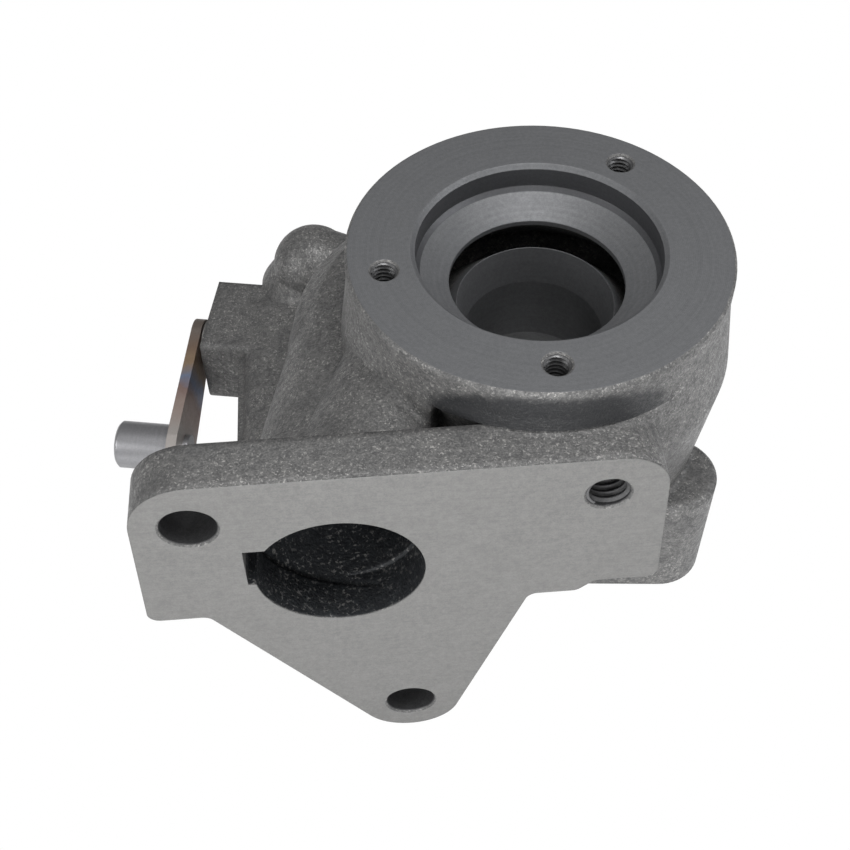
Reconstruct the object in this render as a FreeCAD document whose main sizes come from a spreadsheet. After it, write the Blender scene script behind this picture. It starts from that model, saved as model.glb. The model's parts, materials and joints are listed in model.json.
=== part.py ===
import FreeCAD, Part
import math
import os
import Sketcher

# Turbine housing of a small wastegate turbocharger.
# Row frame in millimetres: the turbine axis is Z, pointing out of the bearing flange,
# the origin is the centre of the bearing flange's machined face, and the inlet flange faces -Y.

doc = FreeCAD.newDocument("turbine_housing")
sheet = doc.addObject("Spreadsheet::Sheet", "Sizes")

SIZES = {
    # bearing flange and turbine bore
    "flange_radius": 39.0,
    "flange_thick": 8.0,
    "flange_soft": 0.5,
    "seat_radius": 24.9,
    "seat_depth": 5.3,
    "seat_chamfer": 0.9,
    "shield_ledge": 0.9,
    "shield_slope": 3.2,
    "wheel_radius": 18.1,
    "throat_top": 10.5,
    "throat_width": 4.9,
    "shroud_radius": 16.4,
    "exducer_radius": 14.6,
    "exducer_start": 24.0,
    "exducer_end": 40.0,
    "diffuser_radius": 21.0,
    "bolt_circle": 31.6,
    "bolt_tap": 2.6,
    "bolt_depth": 14.0,
    "mouth_chamfer": 0.5,
    "core_radius": 36.5,
    # scroll
    "scroll_radius": 36.0,
    "scroll_end_radius": 29.5,
    "scroll_depth": 36.0,
    "scroll_end_depth": 26.0,
    "passage_radius": 11.5,
    "passage_end": 4.6,
    "skin_ring": 31.0,
    "skin_tube": 14.5,
    "skin_left": 8.0,
    "skin_back": 6.0,
    "skin_start": -35.0,
    "skin_sweep": 225.0,
    "skin_lap": 0.3,
    "rim_overhang": 0.4,
    "barrel_bulge": 2.2,
    "barrel_widest": 24.0,
    "barrel_foot": 37.8,
    "barrel_depth": 52.0,
    "cove_radius": 11.0,
    "cove_lap": 1.5,
    "cove_start": -128.0,
    "cove_sweep": 52.0,
    # inlet flange
    "inlet_face": 46.5,
    "inlet_thick": 10.5,
    "port_x": 44.0,
    "port_depth": 41.6,
    "port_radius": 17.1,
    "port_lap": 4.8,
    "port_notch_reach": 18.6,
    "port_notch_height": 11.5,
    "port_notch_depth": 9.0,
    "port_notch_drop": 1.955,
    "duct_wall": 5.4,
    "flare_spread": 5.0,
    "flare_lap": 1.0,
    "flare_length": 12.0,
    "stud_left_x": 71.6,
    "stud_left_depth": 23.0,
    "stud_right_x": 8.1,
    "stud_right_depth": 21.2,
    "stud_low_x": 30.9,
    "stud_low_depth": 97.8,
    "stud_clearance": 5.5,
    "stud_tap": 4.25,
    "inlet_top": 10.6,
    "inlet_left_top": 82.2,
    "inlet_left_foot": 84.4,
    "inlet_foot": 54.6,
    "inlet_right_top": 19.2,
    "inlet_right_foot": 21.2,
    "inlet_drop": 3.4,
    "inlet_waist_right": 5.4,
    "inlet_waist_left": 72.0,
    "inlet_waist_bend": 2.6,
    "inlet_lobe": 11.3,
    "lobe_right_across": 0.947,
    "lobe_right_down": 0.32,
    "lobe_left_across": 0.847,
    "lobe_left_down": 0.532,
    "inlet_corner": 9.5,
    "inlet_left_corner": 12.5,
    # outlet flange and wastegate chamber
    "shoulder_right": 7.0,
    "shoulder_top": 12.0,
    "shoulder_radius": 19.0,
    "shoulder_end": 13.0,
    "shoulder_end_x": 28.0,
    "shoulder_end_y": 8.0,
    "outlet_depth": 78.0,
    "outlet_thick": 10.0,
    "outlet_neck": 32.0,
    "outlet_tap": 3.4,
    "outlet_tap_depth": 18.0,
    "lug_radius": 10.1,
    "lug_soft": 0.8,
    "lug_right_x": 28.7,
    "lug_right_y": 22.0,
    "lug_top": 48.5,
    "lug_back_x": 30.0,
    "lug_back_y": 27.0,
    "dome_x": 47.2,
    "dome_y": 50.0,
    "dome_top": 38.3,
    "dome_foot": 3.5,
    "dome_foot_tall": 6.0,
    "lug_front_x": 56.0,
    "lug_front_y": 14.0,
    "chamber_left": 62.0,
    "chamber_right": 20.0,
    "chamber_front": 5.0,
    "chamber_back": 42.0,
    "chamber_wall": 5.0,
    "hood_low": 63.5,
    "hood_tall": 9.5,
    "hood_wide": 48.0,
    "hood_tilt": 12.0,
    "chamber_corner": 6.0,
    "seat_rise": 5.2,
    "bypass_radius": 7.0,
    # wastegate linkage
    "shaft_angle": 11.0,
    "shaft_depth": 61.8,
    "shaft_back": 23.2,
    "shaft_radius": 3.5,
    "shaft_play": 0.05,
    "bush_radius": 5.5,
    "bush_proud": 1.3,
    "boss_face": 80.3,
    "boss_width": 22.5,
    "boss_front": 8.55,
    "boss_above": 8.0,
    "boss_below": 13.0,
    "boss_bend": 4.5,
    "valve_reach": 40.0,
    "arm_length": 21.8,
    "hub_wall": 1.1,
    "arm_thick": 5.0,
    "arm_radius": 6.5,
    "disc_radius": 10.5,
    "disc_thick": 3.4,
    "stem_radius": 3.0,
    "washer_radius": 5.2,
    "washer_thick": 1.6,
    "arm_play": 0.15,
    "disc_bevel": 1.0,
    "disc_round": 0.6,
    "stem_head": 1.2,
    "seat_clear": 0.2,
    "lever_gap": 0.3,
    "lever_thick": 2.5,
    "lever_length": 28.9,
    "lever_lift": -17.2,
    "lever_eye": 6.0,
    "lever_tip": 9.4,
    "pin_radius": 5.75,
    "pin_length": 13.7,
    "pin_chamfer": 0.6,
    "pin_rivet": 3.6,
    "rivet_proud": 1.2,
}
for row, (alias, value) in enumerate(SIZES.items(), start=1):
    sheet.set("A%d" % row, alias)
    sheet.set("B%d" % row, str(value))
    sheet.setAlias("B%d" % row, alias)
doc.recompute()


def size(alias):
    """Value of one driving dimension."""
    return float(sheet.get(alias))


def formula(text):
    """Expression text in which each dollar sign marks a name of the sheet."""
    return text.replace("$", "Sizes.")


def bind(item, prop, text):
    """Ties one property of a feature to the sheet."""
    item.setExpression(prop, formula(text))


def place(item, x="0", y="0", z="0", axis=None, angle=0.0):
    """Puts a feature at sheet-bound coordinates, turned about one axis."""
    turn = FreeCAD.Rotation(FreeCAD.Vector(*(axis or (0, 0, 1))), angle)
    item.Placement = FreeCAD.Placement(FreeCAD.Vector(0, 0, 0), turn)
    bind(item, "Placement.Base.x", x)
    bind(item, "Placement.Base.y", y)
    bind(item, "Placement.Base.z", z)
    return item


def cylinder(name, radius, height, x="0", y="0", z="0", axis=None, angle=0.0):
    """Round bar whose axis starts at a point and runs along its own Z."""
    item = doc.addObject("Part::Cylinder", name)
    bind(item, "Radius", radius)
    bind(item, "Height", height)
    return place(item, x, y, z, axis, angle)


def box(name, length, width, height, x="0", y="0", z="0", axis=None, angle=0.0):
    """Block with its low corner at a point."""
    item = doc.addObject("Part::Box", name)
    bind(item, "Length", length)
    bind(item, "Width", width)
    bind(item, "Height", height)
    return place(item, x, y, z, axis, angle)


def fuse(name, items):
    """One solid from several."""
    item = doc.addObject("Part::MultiFuse", name)
    item.Shapes = items
    item.Refine = True
    return item


def grown(name, items):
    """One solid to which each item is added in turn, steadier where skins cross at a slant."""
    whole = items[0]
    for number, item in enumerate(items[1:], start=1):
        step = doc.addObject("Part::Fuse", "%s_%02d" % (name, number))
        step.Base = whole
        step.Tool = item
        step.Refine = False
        whole = step
    return whole


def cut(name, base, tool):
    """First solid less the second."""
    item = doc.addObject("Part::Cut", name)
    item.Base = base
    item.Tool = tool
    return item


def rounded(name, base, radius, wanted, kind="Part::Fillet"):
    """Rounds or chamfers the edges of a solid that pass a test of edge and middle point."""
    doc.recompute()
    chosen = []
    for index, edge in enumerate(base.Shape.Edges, start=1):
        middle = edge.valueAt((edge.FirstParameter + edge.LastParameter) / 2)
        if wanted(edge, middle):
            chosen.append((index, radius, radius))
    item = doc.addObject(kind, name)
    item.Base = base
    item.Edges = chosen
    return item


def origin_plane(body, role):
    """Origin plane or axis of a body by its role."""
    return next(item for item in body.Origin.OriginFeatures if item.Role == role)


def outline(body, role, name, points, bends=None):
    """Closed sketch on an origin plane; each point is a pair of sheet formulas.

    bends maps a side's index to the formula of its radius, positive where the arc
    turns the same way round as the points do.
    """
    bends = bends or {}
    sketch = body.newObject("Sketcher::SketchObject", name)
    sketch.AttachmentSupport = [(origin_plane(body, role), "")]
    sketch.MapMode = "FlatFace"
    values = []
    for pair in points:
        values.append([float(sheet_value(text)) for text in pair])
    count = len(points)
    turn = sum(values[i][0] * values[(i + 1) % count][1] - values[(i + 1) % count][0] * values[i][1]
               for i in range(count))
    for i in range(count):
        start = FreeCAD.Vector(values[i][0], values[i][1], 0)
        end = FreeCAD.Vector(*values[(i + 1) % count], 0)
        if i in bends:
            sketch.addGeometry(arc_between(start, end, sheet_value(bends[i]), turn > 0))
        else:
            sketch.addGeometry(Part.LineSegment(start, end))
    ends = []
    for i in range(count):
        swapped = i in bends and not same_point(sketch.Geometry[i].StartPoint, values[i])
        ends.append((2, 1) if swapped else (1, 2))
    for i in range(count):
        after = (i + 1) % count
        sketch.addConstraint(Sketcher.Constraint("Coincident", i, ends[i][1], after, ends[after][0]))
        for axis, kind in enumerate(("DistanceX", "DistanceY")):
            if abs(values[i][axis]) < 1e-9:
                on_axis = -2 if axis == 0 else -1
                sketch.addConstraint(Sketcher.Constraint("PointOnObject", i, ends[i][0], on_axis))
                continue
            label = "%s%d" % ("across" if axis == 0 else "along", i)
            number = sketch.addConstraint(
                Sketcher.Constraint(kind, -1, 1, i, ends[i][0], values[i][axis]))
            sketch.renameConstraint(number, label)
            sketch.setExpression("Constraints." + label, formula(points[i][axis]))
    for i, text in bends.items():
        number = sketch.addConstraint(Sketcher.Constraint("Radius", i, abs(sheet_value(text))))
        sketch.renameConstraint(number, "bend%d" % i)
        sketch.setExpression("Constraints.bend%d" % i, formula("abs(%s)" % text))
    return sketch


def same_point(point, pair):
    """Whether a sketch point lies on a pair of coordinates."""
    return math.hypot(point.x - pair[0], point.y - pair[1]) < 1e-6


def arc_between(start, end, radius, counterclockwise):
    """Arc from start to end; a positive radius bulges out of the outline."""
    chord = end - start
    half = chord.Length / 2
    rise = abs(radius) - math.sqrt(max(radius * radius - half * half, 0.0))
    side = FreeCAD.Vector(chord.y, -chord.x, 0).normalize()
    if not counterclockwise:
        side = side * -1
    middle = (start + end) * 0.5 + side * (rise if radius > 0 else -rise)
    if (middle - start).cross(end - middle).z < 0:
        return Part.Arc(end, middle, start)
    return Part.Arc(start, middle, end)


def sheet_value(text):
    """Number that a formula of the sheet's names gives now."""
    return float(sheet.evalExpression(formula(text)))


def new_body(name):
    """Empty body for sketched features."""
    return doc.addObject("PartDesign::Body", name)


def pad(body, sketch, length):
    """Thickness given to a sketch, along its plane's normal."""
    feature = body.newObject("PartDesign::Pad", body.Name + "_pad")
    feature.Profile = sketch
    bind(feature, "Length", length)
    sketch.Visibility = False
    return feature


def revolve(body, sketch, sweep="360"):
    """Turn of a sketch about the body's Z axis, by an angle in degrees."""
    feature = body.newObject("PartDesign::Revolution", body.Name + "_turn")
    feature.Profile = sketch
    feature.ReferenceAxis = (origin_plane(body, "Z_Axis"), [""])
    bind(feature, "Angle", sweep)
    return feature


def turned(name, points, bends=None):
    """Body of revolution about Z from radius and height pairs."""
    body = new_body(name)
    revolve(body, outline(body, "XZ_Plane", name + "_profile", points, bends))
    return body


# Scroll: the passage leaves the inlet port along +Y, then winds clockwise about the
# turbine axis, seen from the bearing flange, while its section shrinks and rises.

SCROLL_STEP = 30
SCROLL_TURN = 270
SCROLL_POWER = 1.5
SKIN_ANGLES = (-90, -60, -30, 0, 30, 60, 90)


def scroll_point(turn):
    """Formulas of the passage's centre and radius after a turn in degrees."""
    share = 1.0 - (1.0 - turn / SCROLL_TURN) ** SCROLL_POWER
    azimuth = math.radians(180 - turn)
    reach = "($scroll_radius + ($scroll_end_radius - $scroll_radius) * %.6f)" % share
    centre = ("%s * %.6f" % (reach, math.cos(azimuth)), "%s * %.6f" % (reach, math.sin(azimuth)),
              "-($scroll_depth + ($scroll_end_depth - $scroll_depth) * %.6f)" % share)
    return centre, "($passage_radius + ($passage_end - $passage_radius) * %.6f)" % share


def taper(name, start, end, start_radius, end_radius, lap="0"):
    """Straight tapered piece between two points, longer by a lap at each end."""
    away = FreeCAD.Vector(*(sheet_value(last) - sheet_value(first)
                            for first, last in zip(start, end))).normalize()
    item = doc.addObject("Part::Cone", name)
    bind(item, "Radius1", start_radius)
    bind(item, "Radius2", end_radius)
    squares = ["((%s) - (%s))^2" % (last, first) for first, last in zip(start, end)]
    bind(item, "Height", "sqrt(%s) + 2 * %s" % (" + ".join(squares), lap))
    item.Placement = FreeCAD.Placement(FreeCAD.Vector(0, 0, 0),
                                       FreeCAD.Rotation(FreeCAD.Vector(0, 0, 1), away))
    for letter, first, part in zip("xyz", start, away):
        bind(item, "Placement.Base." + letter, "(%s) - %s * %.6f" % (first, lap, part))
    return item


def scroll_passage():
    """Gas passage from the port's face to the tongue, in straight tapers that overlap."""
    mouth = ("-$port_x", "-$inlet_face - 1", "-$port_depth")
    throat = ("-$port_x", "-$inlet_face + $inlet_thick", "-$port_depth")
    centre, radius = scroll_point(0)
    pieces = [
        cylinder("port_throat", "$port_radius", "$inlet_thick + 1", *mouth, (1, 0, 0), -90),
        taper("port_run", throat, centre, "$port_radius", radius, "$port_lap"),
    ]
    lap = math.tan(math.radians(SCROLL_STEP / 2))
    for turn in range(0, SCROLL_TURN, SCROLL_STEP):
        start, start_radius = scroll_point(turn)
        end, end_radius = scroll_point(turn + SCROLL_STEP)
        pieces.append(taper("passage_%03d" % turn, start, end, start_radius, end_radius,
                            "%s * %.6f" % (end_radius, lap)))
    return pieces


def scroll_skin():
    """Outer skin of the scroll, one ring set off the turbine axis, and of its inlet duct."""
    body = new_body("skin_body")
    points = [("$skin_ring - $skin_tube", "-$skin_tube")]
    for angle in SKIN_ANGLES:
        turn = math.radians(angle)
        points.append(("$skin_ring + $skin_tube * %.6f" % math.cos(turn),
                       "$skin_tube * %.6f" % math.sin(turn)))
    points.append(("$skin_ring - $skin_tube", "$skin_tube"))
    revolve(body, outline(body, "XZ_Plane", "skin_profile", points), "$skin_sweep")
    ring = doc.addObject("Part::Compound", "skin_ring")
    ring.Links = [body]
    place(ring, "-$skin_left", "$skin_back", "-$scroll_depth", angle=size("skin_start"))
    duct = taper("duct", ("-$port_x", "-$inlet_face + $inlet_thick * 0.5", "-$port_depth"),
                 ("-$skin_left - $skin_ring", "$skin_back", "-$scroll_depth"),
                 "$port_radius + $duct_wall", "$skin_tube - $skin_lap")
    return [ring, duct]


def lobe_end(side, sign):
    """Formulas of the point where the low lobe's arc meets a straight side of the plate."""
    return ("-$stud_low_x %s $inlet_lobe * $lobe_%s_across" % (sign, side),
            "-$stud_low_depth - $inlet_lobe * $lobe_%s_down" % side)


def inlet_plate():
    """Three-stud inlet flange: a plate with two shoulders and one low lobe."""
    body = new_body("inlet_plate")
    sketch = outline(body, "XZ_Plane", "inlet_outline", [
        ("-$inlet_left_top", "-$inlet_top"),
        ("$inlet_right_top", "-$inlet_top"),
        ("$inlet_right_foot", "-$inlet_foot + $inlet_drop"),
        ("$stud_right_x", "-$inlet_foot + $inlet_drop"),
        ("$stud_right_x - $inlet_drop", "-$inlet_foot"),
        ("-$inlet_waist_right", "-$inlet_foot"),
        lobe_end("right", "+"),
        lobe_end("left", "-"),
        ("-$inlet_waist_left", "-$inlet_foot"),
        ("-$inlet_left_foot", "-$inlet_foot"),
    ], {6: "$inlet_lobe"})
    pad(body, sketch, "$inlet_thick")
    bind(body, "Placement.Base.y", "-$inlet_face + $inlet_thick")
    return body


def casting_solids():
    """Outside of the casting, before any bore or passage is cut."""
    rim = cylinder("rim_disc", "$flange_radius", "$flange_thick", z="-$flange_thick")
    rim = rounded("bearing_rim", rim, size("flange_soft"), lambda edge, middle: edge.Closed,
                  "Part::Chamfer")
    barrel = turned("barrel", [
        ("0", "-$flange_thick * 0.5"),
        ("$flange_radius - $rim_overhang", "-$flange_thick * 0.5"),
        ("$flange_radius + $barrel_bulge", "-$barrel_widest"),
        ("$barrel_foot", "-$barrel_depth"),
        ("0", "-$barrel_depth"),
    ])
    cove = doc.addObject("Part::Torus", "rim_cove")
    bind(cove, "Radius1", "$core_radius + $cove_radius")
    bind(cove, "Radius2", "$cove_radius")
    bind(cove, "Angle3", "$cove_sweep")
    place(cove, z="-$flange_thick - $cove_radius + $cove_lap", angle=size("cove_start"))
    core = cut("core_coved", fuse("core", [barrel, shoulder()] + scroll_skin()), cove)
    plate = inlet_flange()
    flare = doc.addObject("Part::Cone", "duct_flare")
    bind(flare, "Radius1", "$port_radius + $duct_wall + $flare_spread")
    bind(flare, "Radius2", "$port_radius + $duct_wall - $flare_lap")
    bind(flare, "Height", "$flare_length")
    place(flare, "-$port_x", "-$inlet_face + $inlet_thick - 1", "-$port_depth", (1, 0, 0), -90)
    neck = cylinder("outlet_neck", "$outlet_neck", "$outlet_depth - $barrel_depth + 6",
                    z="-$outlet_depth")
    return [core, rim, plate, flare, neck] + outlet_side() + [lever_boss()]


def inlet_flange():
    """Inlet plate with its corners rounded."""
    plate = inlet_plate()
    top = -size("inlet_top")
    tall = rounded("inlet_left_top", plate, size("inlet_left_corner"), lambda edge, middle:
                   upright(edge) and abs(middle.z - top) < 0.1 and middle.x < 0)
    tall = rounded("inlet_right_top", tall, size("inlet_corner"), lambda edge, middle:
                   upright(edge) and abs(middle.z - top) < 0.1 and middle.x > 0)
    foot = -size("inlet_foot")
    step = foot + size("inlet_drop")
    return rounded("inlet_waist", tall, size("inlet_waist_bend"), lambda edge, middle:
                   upright(edge) and min(abs(middle.z - foot), abs(middle.z - step)) < 0.1)


def upright(edge):
    """Whether an edge runs straight along Y, through the thickness of the inlet plate."""
    if not isinstance(edge.Curve, Part.Line):
        return False
    return abs(abs(edge.Curve.Direction.y) - 1.0) < 1e-6


def shoulder():
    """Tapered web that joins the barrel, the duct and the top of the inlet plate."""
    return taper("shoulder", ("-$port_x + $shoulder_right", "-$inlet_face + $inlet_thick * 0.8",
                              "-$shoulder_top - $shoulder_radius"),
                 ("-$shoulder_end_x", "-$shoulder_end_y", "-$shoulder_top - $shoulder_end"),
                 "$shoulder_radius", "$shoulder_end")


def outlet_side():
    """Outlet flange, its stud lugs and the wastegate chamber above it."""
    plate_body = new_body("outlet_outline_body")
    corners = [
        ("$lug_right_x", "-$lug_right_y"),
        ("$lug_back_x", "$lug_back_y"),
        ("-$dome_x", "$dome_y"),
        ("-$lug_front_x", "-$lug_front_y"),
    ]
    ring = outline(plate_body, "XY_Plane", "outlet_corners", corners)
    grown = doc.addObject("Part::Offset2D", "outlet_outline")
    grown.Source = ring
    grown.Join = 0
    grown.Fill = False
    bind(grown, "Value", "$lug_radius")
    plate = doc.addObject("Part::Extrusion", "outlet_plate")
    plate.Base = grown
    plate.DirMode = "Custom"
    plate.Dir = FreeCAD.Vector(0, 0, 1)
    plate.Solid = True
    bind(plate, "LengthFwd", "$outlet_thick")
    place(plate, z="-$outlet_depth")
    right = lug("lug_right", "$lug_right_x", "-$lug_right_y", "$lug_top")
    back = lug("lug_back", "$lug_back_x", "$lug_back_y", "$lug_top")
    dome_post = cylinder("dome_post", "$lug_radius", "$outlet_depth - $dome_top - $lug_radius",
                         "-$dome_x", "$dome_y", "-$outlet_depth")
    dome = doc.addObject("Part::Sphere", "dome")
    bind(dome, "Radius", "$lug_radius")
    place(dome, "-$dome_x", "$dome_y", "-$dome_top - $lug_radius")
    front = lug("lug_front", "-$lug_front_x", "-$lug_front_y", "$outlet_depth - $outlet_tap_depth - 4")
    chamber = box("chamber", "$chamber_left - $chamber_right + $chamber_wall * 3",
                  "$chamber_front + $chamber_back + $chamber_wall * 2",
                  "$outlet_depth - $hood_low + $chamber_corner",
                  "-$chamber_left - $chamber_wall", "-$chamber_front - $chamber_wall",
                  "-$outlet_depth")
    web = taper("dome_web", ("-$dome_x", "$dome_y", "-$dome_top - $lug_radius"),
                ("-$dome_x * 0.5", "$dome_y * 0.8", "-$dome_top - $lug_radius * 1.3"),
                "$lug_radius - $skin_lap", "$lug_radius - 2 * $skin_lap")
    foot = ("-$dome_x", "$dome_y", "$boss_above - $shaft_depth")
    over = ("-$dome_x", "$dome_y", "$boss_above - $shaft_depth + $dome_foot_tall")
    under = ("-$dome_x", "$dome_y", "$boss_above - $shaft_depth - $dome_foot_tall")
    skirts = [taper(name, foot, end, "$lug_radius + $dome_foot", "$lug_radius - $skin_lap")
              for name, end in (("dome_foot", over), ("dome_skirt", under))]
    return [plate, right, back, dome_post, dome, web] + skirts + [front, chamber, hood()]


def hood():
    """Sloping roof of the wastegate chamber, rising from the lever boss to the scroll."""
    block = box("hood_block", "$hood_wide", "$chamber_front + $chamber_back + $chamber_wall * 2",
                "$hood_tall")
    soft = rounded("hood_soft", block, size("chamber_corner"), lambda edge, middle:
                   middle.z > size("hood_tall") - 1 and middle.x < size("hood_wide") - 1
                   and middle.y > 1)
    roof = doc.addObject("Part::Compound", "hood")
    roof.Links = [soft]
    return place(roof, "-$chamber_left - $chamber_wall + 2", "-$chamber_front - $chamber_wall",
                 "-$hood_low", (0, 1, 0), -size("hood_tilt"))


def lug(name, x, y, top):
    """Stud lug of the outlet flange with a softened top edge."""
    post = cylinder(name + "_post", "$lug_radius", "$outlet_depth - (%s)" % top, x, y,
                    "-$outlet_depth")
    return rounded(name, post, size("lug_soft"), lambda edge, middle:
                   edge.Closed and edge.BoundBox.ZMin > -size("outlet_depth") + 1,
                   "Part::Chamfer")


def lever_boss():
    """Square boss that carries the shaft's bush on the left side."""
    block = box("boss_block", "$boss_face - $chamber_left + 6", "$boss_width",
                "$boss_above + $boss_below", "-$boss_face", "$shaft_back - $boss_front",
                "-$shaft_depth - $boss_below")
    block = rounded("boss_soft", block, size("boss_bend"), lambda edge, middle:
                    abs(edge.BoundBox.XLength) > 1 and middle.z < -size("shaft_depth"))
    spin = doc.addObject("Part::Compound", "lever_boss")
    spin.Links = [block]
    spin.Placement = linkage_turn()
    return spin


def linkage_turn():
    """Turn of the wastegate linkage about the turbine axis."""
    return FreeCAD.Placement(FreeCAD.Vector(0, 0, 0),
                             FreeCAD.Rotation(FreeCAD.Vector(0, 0, 1), -size("shaft_angle")))


BOLT_ANGLES = (49.5, -91.8, -172.6)


def turbine_bore():
    """Everything turned about the axis: bearing seat, wheel space, shroud and diffuser."""
    ledge = "-$seat_depth - $shield_ledge"
    wheel_top = "-$seat_depth - $shield_ledge - $shield_slope"
    throat = "-$throat_top - $throat_width"
    return turned("turbine_bore", [
        ("0", "1"),
        ("$seat_radius + $seat_chamfer", "1"),
        ("$seat_radius + $seat_chamfer", "0"),
        ("$seat_radius", "-$seat_chamfer"),
        ("$seat_radius", "-$seat_depth"),
        ("$seat_radius - $shield_ledge", ledge),
        ("$wheel_radius", wheel_top),
        ("$wheel_radius", "-$throat_top"),
        ("$scroll_end_radius", "-$scroll_end_depth + $passage_end - 1"),
        ("$scroll_end_radius", "-$scroll_end_depth - $passage_end + 1"),
        ("$shroud_radius", throat),
        ("$exducer_radius", "-$exducer_start"),
        ("$exducer_radius", "-$exducer_end"),
        ("$diffuser_radius", "$seat_rise - $shaft_depth"),
        ("$diffuser_radius", "-$outlet_depth - 1"),
        ("0", "-$outlet_depth - 1"),
    ])


def mouth(name, radius, x, y, z, axis=None, angle=0.0):
    """Chamfer at a hole's mouth, opening along its own Z from a point on the face."""
    item = doc.addObject("Part::Cone", name)
    bind(item, "Radius1", radius + " - $mouth_chamfer")
    bind(item, "Radius2", radius + " + 2 * $mouth_chamfer")
    bind(item, "Height", "3 * $mouth_chamfer")
    return place(item, x, y, z, axis, angle)


def tapped_holes():
    """Tapped holes of the bearing flange, at their three uneven places."""
    holes = []
    for number, angle in enumerate(BOLT_ANGLES, start=1):
        turn = math.radians(angle)
        x = "$bolt_circle * %.6f" % math.cos(turn)
        y = "$bolt_circle * %.6f" % math.sin(turn)
        holes.append(cylinder("bearing_tap_%d" % number, "$bolt_tap", "$bolt_depth + 1", x, y,
                              "-$bolt_depth"))
        holes.append(mouth("bearing_mouth_%d" % number, "$bolt_tap", x, y, "-2 * $mouth_chamfer"))
    return holes


def inlet_holes():
    """Two clear stud holes and one tapped hole through the inlet plate."""
    holes = []
    for name, x, depth, radius in (("left", "-$stud_left_x", "$stud_left_depth", "$stud_clearance"),
                                   ("low", "-$stud_low_x", "$stud_low_depth", "$stud_clearance"),
                                   ("right", "$stud_right_x", "$stud_right_depth", "$stud_tap")):
        holes.append(cylinder("inlet_hole_" + name, radius, "$inlet_thick + 1.2", x,
                              "-$inlet_face - 1", "-" + depth, (1, 0, 0), -90))
        holes.append(mouth("inlet_mouth_" + name, radius, x,
                           "-$inlet_face + 2 * $mouth_chamfer", "-" + depth, (1, 0, 0), 90))
    return holes


def outlet_holes():
    """Tapped holes in the four lugs of the outlet flange."""
    places = (("$lug_right_x", "-$lug_right_y"), ("$lug_back_x", "$lug_back_y"),
              ("-$dome_x", "$dome_y"), ("-$lug_front_x", "-$lug_front_y"))
    holes = []
    for number, (x, y) in enumerate(places, start=1):
        holes.append(cylinder("outlet_tap_%d" % number, "$outlet_tap", "$outlet_tap_depth + 1",
                              x, y, "-$outlet_depth - 1"))
        holes.append(mouth("outlet_mouth_%d" % number, "$outlet_tap", x, y,
                           "-$outlet_depth + 2 * $mouth_chamfer", (1, 0, 0), 180))
    return holes


def port_notch():
    """Square relief that the casting core leaves beside the port."""
    return box("port_notch", "$port_notch_reach", "$port_notch_depth", "$port_notch_height",
               "-$port_x - $port_notch_reach", "-$inlet_face - 1",
               "-$port_depth - $port_notch_drop")


def chamber_room():
    """Space in which the wastegate arm swings, open at the outlet face."""
    room = box("chamber_room_block", "$chamber_left - $chamber_right",
               "$chamber_front + $chamber_back", "$outlet_depth - ($shaft_depth - $seat_rise) + 1",
               "-$chamber_left", "-$chamber_front", "-$outlet_depth - 1")
    return rounded("chamber_room", room, size("chamber_corner") - size("chamber_wall") * 0.5,
                   lambda edge, middle: edge.BoundBox.ZLength > size("outlet_thick")
                   and middle.x < -size("chamber_left") * 0.9)


def link_bar(name, radius, start, end):
    """Round bar along the shaft's axis between two distances from the turbine axis."""
    bar = cylinder(name, radius, "(%s) - (%s)" % (end, start), start, "$shaft_back",
                   "-$shaft_depth", (0, 1, 0), 90)
    return bar


def turned_link(name, items):
    """Pieces drawn along the shaft's axis, turned into place."""
    doc.recompute()
    holder = doc.addObject("Part::Compound", name)
    holder.Links = items
    holder.Placement = linkage_turn()
    return holder


def casting():
    """The housing as one casting."""
    outside = grown("casting_outside", casting_solids())
    bush_bore = link_bar("bush_bore", "$bush_radius", "-$boss_face - 1", "-$chamber_left + 6")
    bypass = cylinder("bypass_hole", "$bypass_radius", "($shaft_depth - $seat_rise) - $scroll_depth",
                      "-$valve_reach", "$shaft_back - $arm_length", "-($shaft_depth - $seat_rise) - 0.5")
    tools = [turbine_bore(), port_notch(), chamber_room(),
             turned_link("linkage_bores", [bush_bore, bypass])] + scroll_passage()
    tools += tapped_holes() + inlet_holes() + outlet_holes()
    inside = fuse("casting_voids", tools)
    return cut("turbine_housing", outside, inside)


def bushing():
    """Pressed bush with a bore that gives the shaft its running play."""
    sleeve = link_bar("bush_sleeve", "$bush_radius", "-$boss_face - $bush_proud",
                      "-$chamber_left + 4")
    hole = link_bar("bush_hole", "$shaft_radius + $shaft_play", "-$boss_face - $bush_proud - 1",
                    "-$chamber_left + 5")
    return turned_link("shaft_bush", [cut("bush_drilled", sleeve, hole)])


def shaft():
    """Wastegate shaft with its crank arm, forged in one."""
    lever_out = "-$boss_face - $bush_proud - $lever_gap - $lever_thick"
    rod = link_bar("shaft_rod", "$shaft_radius", lever_out, "-$valve_reach + $arm_radius")
    hub = link_bar("arm_hub", "$shaft_radius + $hub_wall", "-$valve_reach - $arm_radius",
                   "-$valve_reach + $arm_radius")
    arm = box("arm_plate", "$arm_radius * 2", "$arm_length", "$arm_thick",
              "-$valve_reach - $arm_radius", "$shaft_back - $arm_length", arm_low())
    eye = cylinder("arm_eye", "$arm_radius", "$arm_thick", "-$valve_reach",
                   "$shaft_back - $arm_length", arm_low())
    hole = cylinder("arm_hole", "$stem_radius + $arm_play", "$arm_thick + 2", "-$valve_reach",
                    "$shaft_back - $arm_length", arm_low() + " - 1")
    return turned_link("wastegate_shaft",
                       [cut("shaft_drilled", fuse("shaft_forging", [rod, hub, arm, eye]), hole)])


def disc_top():
    """Height of the valve's sealing face, a hair under its seat."""
    return "$seat_rise - $shaft_depth - $seat_clear"


def arm_low():
    """Height of the arm's lower face."""
    return disc_top() + " - $disc_thick - $arm_play - $arm_thick"


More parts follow.
